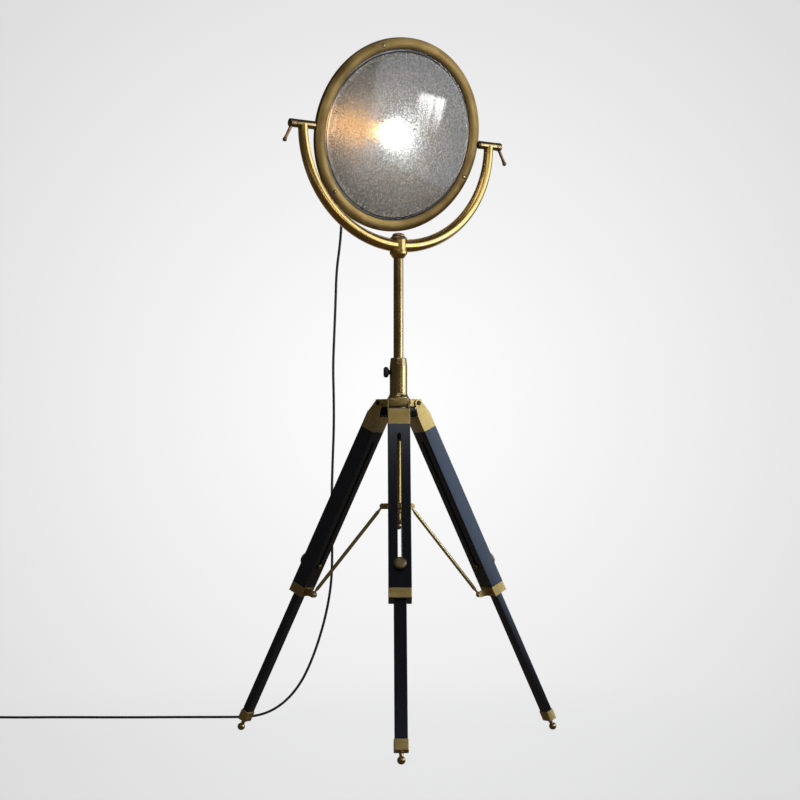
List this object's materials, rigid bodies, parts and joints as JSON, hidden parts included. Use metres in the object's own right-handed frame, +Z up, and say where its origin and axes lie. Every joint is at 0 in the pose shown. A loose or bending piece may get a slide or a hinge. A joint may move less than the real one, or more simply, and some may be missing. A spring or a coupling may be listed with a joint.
{
  "type": "tripod floor lamp",
  "caption": "Floor lamp with a round searchlight head in a tilting U yoke, a sliding brass post and a folding wooden tripod with sliding lower legs and brass fittings.",
  "frame": {"origin": "middle of the base on the floor, measured without the cord", "axes": "+Z up, front leg towards -Y, head facing -Y and a little to +X"},
  "size_m": [1.4812, 0.8828, 1.5461],
  "materials": {
    "brass": "brushed satin, lacquered",
    "antique_brass": "antique, satin",
    "steel": "plain",
    "black_wood": "black satin lacquer",
    "lens": "rippled",
    "bulb": "frosted, lit",
    "mirror": "satin reflector",
    "gasket": "matt",
    "black_plastic": "moulded",
    "cord": "smooth round flex"
  },
  "bodies": {
    "stand": {"sleeve": "brass", "hub": "brass", "centre_tube": "brass", "tube_finial": "brass", "hinge_pins": "steel", "cord_hanging": "cord", "cord_floor": "cord", "cord_coil": "cord", "cord_tie": "cord", "plug": "black_plastic"},
    "thumb_screw": {"thumb_screw": "black_plastic"},
    "post": {"post_tube": "brass", "swivel_stud": "steel", "swivel_finial": "brass"},
    "yoke": {"yoke_tube": "brass", "pivot_barrels": "brass", "swivel_cup": "brass", "saddle_washer": "brass"},
    "lever_left": {"tilt_lever_left": "brass"},
    "lever_right": {"tilt_lever_right": "brass"},
    "head": {"bezel_ring": "antique_brass", "lens_glass": "lens", "lens_gasket": "gasket", "bezel_screws": "antique_brass", "head_bowl": "antique_brass", "reflector": "mirror", "lamp_holder": "black_plastic", "holder_bracket": "steel", "bulb_cap": "steel", "bulb_glass": "bulb", "cable_gland": "black_plastic", "inner_lead": "cord", "pivot_pins": "steel"},
    "spreader": {"spreader": "brass"},
    "leg_front": {"leg_upper_front": "black_wood", "leg_bracket_front": "brass", "leg_collar_front": "brass"},
    "shin_front": {"leg_lower_front": "black_wood", "leg_ferrule_front": "brass", "foot_front": "brass"},
    "knob_front": {"leg_knob_front": "brass"},
    "brace_front": {"brace_front": "brass"},
    "leg_left": {"leg_upper_left": "black_wood", "leg_bracket_left": "brass", "leg_collar_left": "brass"},
    "shin_left": {"leg_lower_left": "black_wood", "leg_ferrule_left": "brass", "foot_left": "brass"},
    "knob_left": {"leg_knob_left": "brass"},
    "brace_left": {"brace_left": "brass"},
    "leg_right": {"leg_upper_right": "black_wood", "leg_bracket_right": "brass", "leg_collar_right": "brass"},
    "shin_right": {"leg_lower_right": "black_wood", "leg_ferrule_right": "brass", "foot_right": "brass"},
    "knob_right": {"leg_knob_right": "brass"},
    "brace_right": {"brace_right": "brass"}
  },
  "joints": [
    {"name": "post_height", "type": "slide", "parent": "stand", "child": "post", "axis": [0, 0, 1], "range_m": [-0.2, 0.05], "deforming": ["cord_hanging"]},
    {"name": "yoke_pan", "type": "hinge", "parent": "post", "child": "yoke", "pos_m": [0, 0.10051, 1.087], "axis": [0, 0, 1], "range_deg": [-120, 120], "deforming": ["cord_hanging"]},
    {"name": "head_tilt", "type": "hinge", "parent": "yoke", "child": "head", "pos_m": [0, 0.10051, 1.336], "axis": [0.8425, 0.5388, 0], "range_deg": [-89, 46], "deforming": ["cord_hanging"]},
    {"name": "lever_left_turn", "type": "hinge", "parent": "yoke", "child": "lever_left", "pos_m": [-0.22999, -0.04658, 1.336], "axis": [-0.8425, -0.5388, 0], "range_deg": [0, 75]},
    {"name": "lever_right_turn", "type": "hinge", "parent": "yoke", "child": "lever_right", "pos_m": [0.22999, 0.24759, 1.336], "axis": [0.8425, 0.5388, 0], "range_deg": [0, 75]},
    {"name": "thumb_screw_turn", "type": "hinge", "parent": "stand", "child": "thumb_screw", "pos_m": [-0.02, 0.10051, 0.808], "axis": [-1, 0, 0], "range_deg": [0, 360]},
    {"name": "leg_front_fold", "type": "hinge", "parent": "stand", "child": "leg_front", "pos_m": [0, 0.06251, 0.73976], "axis": [1, 0, 0], "range_deg": [0, 20]},
    {"name": "leg_front_slide", "type": "slide", "parent": "leg_front", "child": "shin_front", "axis": [0, 0.4555, 0.8902], "range_m": [0, 0.3]},
    {"name": "knob_front_turn", "type": "hinge", "parent": "shin_front", "child": "knob_front", "pos_m": [0, -0.11971, 0.38367], "axis": [0, -0.8902, 0.4555], "range_deg": [0, 360]},
    {"name": "brace_front_swing", "type": "hinge", "parent": "leg_front", "child": "brace_front", "pos_m": [0, -0.11563, 0.31306], "axis": [1, 0, 0], "range_deg": [0, 17.2]},
    {"name": "leg_left_fold", "type": "hinge", "parent": "stand", "child": "leg_left", "pos_m": [-0.03291, 0.11951, 0.73976], "axis": [-0.5, -0.866, 0], "range_deg": [0, 20]},
    {"name": "leg_left_slide", "type": "slide", "parent": "leg_left", "child": "shin_left", "axis": [0.3945, -0.2278, 0.8902], "range_m": [0, 0.3]},
    {"name": "knob_left_turn", "type": "hinge", "parent": "shin_left", "child": "knob_left", "pos_m": [-0.19071, 0.21062, 0.38367], "axis": [-0.7709, 0.4451, 0.4555], "range_deg": [0, 360]},
    {"name": "brace_left_swing", "type": "hinge", "parent": "leg_left", "child": "brace_left", "pos_m": [-0.18718, 0.20858, 0.31306], "axis": [-0.5, -0.866, 0], "range_deg": [0, 17.2]},
    {"name": "leg_right_fold", "type": "hinge", "parent": "stand", "child": "leg_right", "pos_m": [0.03291, 0.11951, 0.73976], "axis": [-0.5, 0.866, 0], "range_deg": [0, 20]},
    {"name": "leg_right_slide", "type": "slide", "parent": "leg_right", "child": "shin_right", "axis": [-0.3945, -0.2278, 0.8902], "range_m": [0, 0.3]},
    {"name": "knob_right_turn", "type": "hinge", "parent": "shin_right", "child": "knob_right", "pos_m": [0.19071, 0.21062, 0.38367], "axis": [0.7709, 0.4451, 0.4555], "range_deg": [0, 360]},
    {"name": "brace_right_swing", "type": "hinge", "parent": "leg_right", "child": "brace_right", "pos_m": [0.18718, 0.20858, 0.31306], "axis": [-0.5, 0.866, 0], "range_deg": [0, 17.2]},
    {"name": "spreader_slide", "type": "slide", "parent": "stand", "child": "spreader", "axis": [0, 0, 1], "range_m": [0, 0.027]}
  ],
  "couplings": [
    {"joint": "brace_front_swing", "follows": "leg_front_fold", "ratio": 0.854},
    {"joint": "leg_left_fold", "follows": "leg_front_fold", "ratio": 1},
    {"joint": "brace_left_swing", "follows": "leg_front_fold", "ratio": 0.854},
    {"joint": "leg_right_fold", "follows": "leg_front_fold", "ratio": 1},
    {"joint": "brace_right_swing", "follows": "leg_front_fold", "ratio": 0.854},
    {"joint": "spreader_slide", "follows": "leg_front_fold", "m_per_rad": 0.07625}
  ]
}
